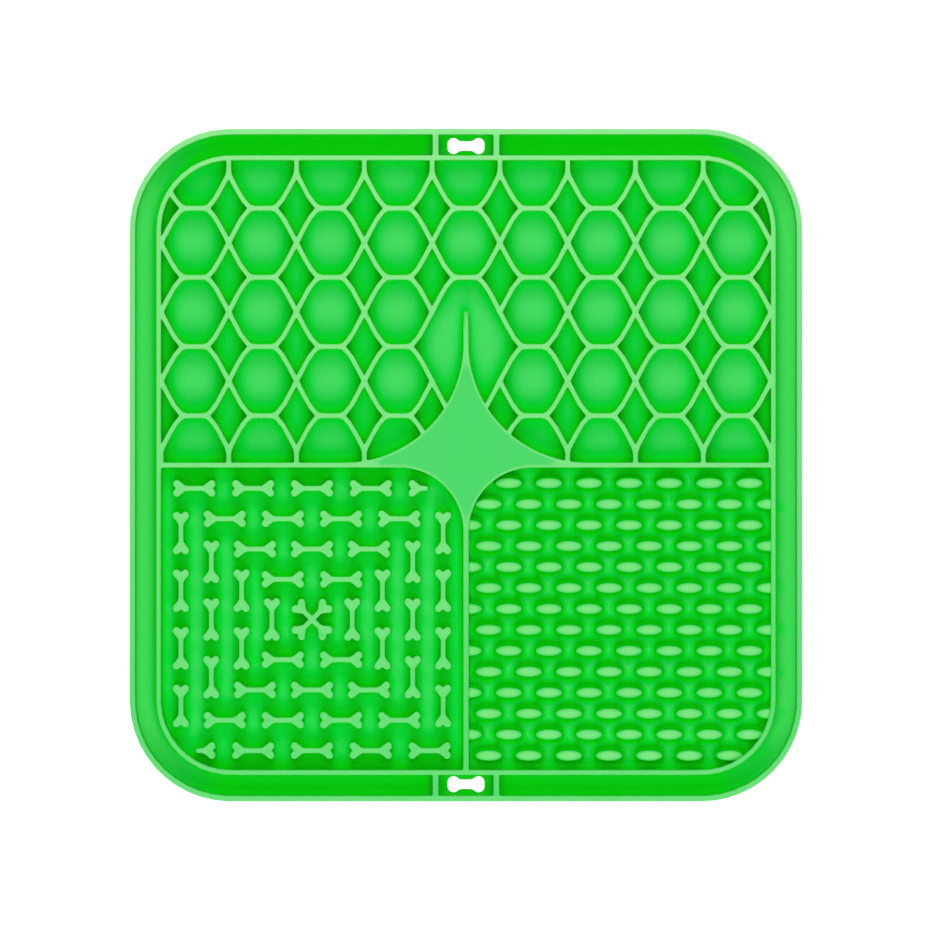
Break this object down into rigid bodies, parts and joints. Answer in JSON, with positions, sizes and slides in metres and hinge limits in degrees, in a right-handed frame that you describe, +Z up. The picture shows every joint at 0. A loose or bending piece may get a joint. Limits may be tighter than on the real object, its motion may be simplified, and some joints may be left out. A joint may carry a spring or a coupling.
{
  "type": "pet lick mat",
  "caption": "Square moulded silicone lick mat with raised honeycomb walls, a star, small bones and oval nubs inside a rim and an inner wall, with bone-shaped hanging holes.",
  "frame": {"origin": "middle of the flat underside, on the surface that the mat lies on", "axes": "+X to the right with the nubs on that side, +Y towards the honeycomb half, +Z up out of the licking face"},
  "size_m": [0.2, 0.2, 0.0085],
  "materials": {
    "silicone": "satin moulded food-grade silicone, one bright green throughout"
  },
  "bodies": {
    "root": {"mat": "silicone"}
  },
  "joints": []
}
